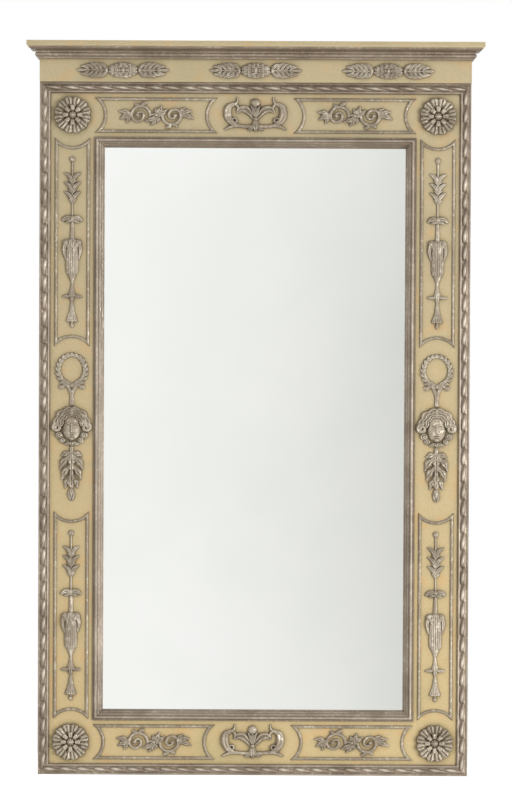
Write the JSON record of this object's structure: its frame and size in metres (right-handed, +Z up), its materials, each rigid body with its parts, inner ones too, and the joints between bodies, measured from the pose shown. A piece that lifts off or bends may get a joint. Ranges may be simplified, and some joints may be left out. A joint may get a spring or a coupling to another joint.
{
  "type": "wall mirror",
  "caption": "Tall wall mirror in a painted wooden frame with a moulded cornice, silvered ribbon mouldings and applied neoclassical relief ornament, hung by rings on its back.",
  "frame": {"origin": "middle of the hanging line on the wall plane, level with the places where two wall hooks carry the hanger rings", "axes": "+X right as seen from the front, +Z up, the glass faces -Y and the wall is the plane Y = 0"},
  "size_m": [0.91, 0.074, 1.464],
  "materials": {
    "paint": "aged cream-ochre paint with an olive glaze",
    "bead_silver": "worn silver leaf over paint",
    "moulding_silver": "worn silver leaf with a warm glaze",
    "ornament_silver": "moulded composition under worn silver leaf",
    "mirror": "silvered glass",
    "plywood": "bare plywood",
    "setting_rubber": "matt",
    "steel": "zinc plated",
    "bumper_rubber": "matt"
  },
  "bodies": {
    "frame": {"left_stile": "paint", "right_stile": "paint", "top_rail": "paint", "bottom_rail": "paint", "frieze_board": "paint", "cap_board": "paint", "panel_bead_upper_left": "bead_silver", "panel_bead_upper_right": "bead_silver", "panel_bead_lower_left": "bead_silver", "panel_bead_lower_right": "bead_silver", "panel_bead_top_left": "bead_silver", "panel_bead_top_right": "bead_silver", "panel_bead_bottom_left": "bead_silver", "panel_bead_bottom_right": "bead_silver", "crown_front": "moulding_silver", "crown_left_return": "moulding_silver", "crown_right_return": "moulding_silver", "ribbon_moulding_left": "moulding_silver", "ribbon_moulding_top": "moulding_silver", "ribbon_moulding_right": "moulding_silver", "ribbon_moulding_bottom": "moulding_silver", "sight_moulding_left": "moulding_silver", "sight_moulding_top": "moulding_silver", "sight_moulding_right": "moulding_silver", "sight_moulding_bottom": "moulding_silver", "rosette_top_left": "ornament_silver", "rosette_top_right": "ornament_silver", "rosette_bottom_left": "ornament_silver", "rosette_bottom_right": "ornament_silver", "drop_upper_left": "ornament_silver", "drop_upper_right": "ornament_silver", "drop_lower_left": "ornament_silver", "drop_lower_right": "ornament_silver", "wreath_left": "ornament_silver", "wreath_right": "ornament_silver", "mask_left": "ornament_silver", "mask_right": "ornament_silver", "leaf_drop_left": "ornament_silver", "leaf_drop_right": "ornament_silver", "scroll_top_left": "ornament_silver", "scroll_top_right": "ornament_silver", "scroll_bottom_left": "ornament_silver", "scroll_bottom_right": "ornament_silver", "palmette_top": "ornament_silver", "palmette_bottom": "ornament_silver", "frieze_spray_left": "ornament_silver", "frieze_spray_centre": "ornament_silver", "frieze_spray_right": "ornament_silver", "mirror_glass": "mirror", "backing_board": "plywood", "setting_blocks": "setting_rubber", "hanger_strap_left": "steel", "hanger_strap_right": "steel", "hanger_screws": "steel", "backing_screws": "steel", "wall_bumpers": "bumper_rubber"},
    "left_ring": {"hanger_ring_left": "steel"},
    "right_ring": {"hanger_ring_right": "steel"}
  },
  "joints": [
    {"name": "left_ring_swing", "type": "hinge", "parent": "frame", "child": "left_ring", "pos_m": [-0.3755, -0.00542, -0.021], "axis": [-1, 0, 0], "range_deg": [0, 175]},
    {"name": "right_ring_swing", "type": "hinge", "parent": "frame", "child": "right_ring", "pos_m": [0.3755, -0.00542, -0.021], "axis": [-1, 0, 0], "range_deg": [0, 175]}
  ]
}
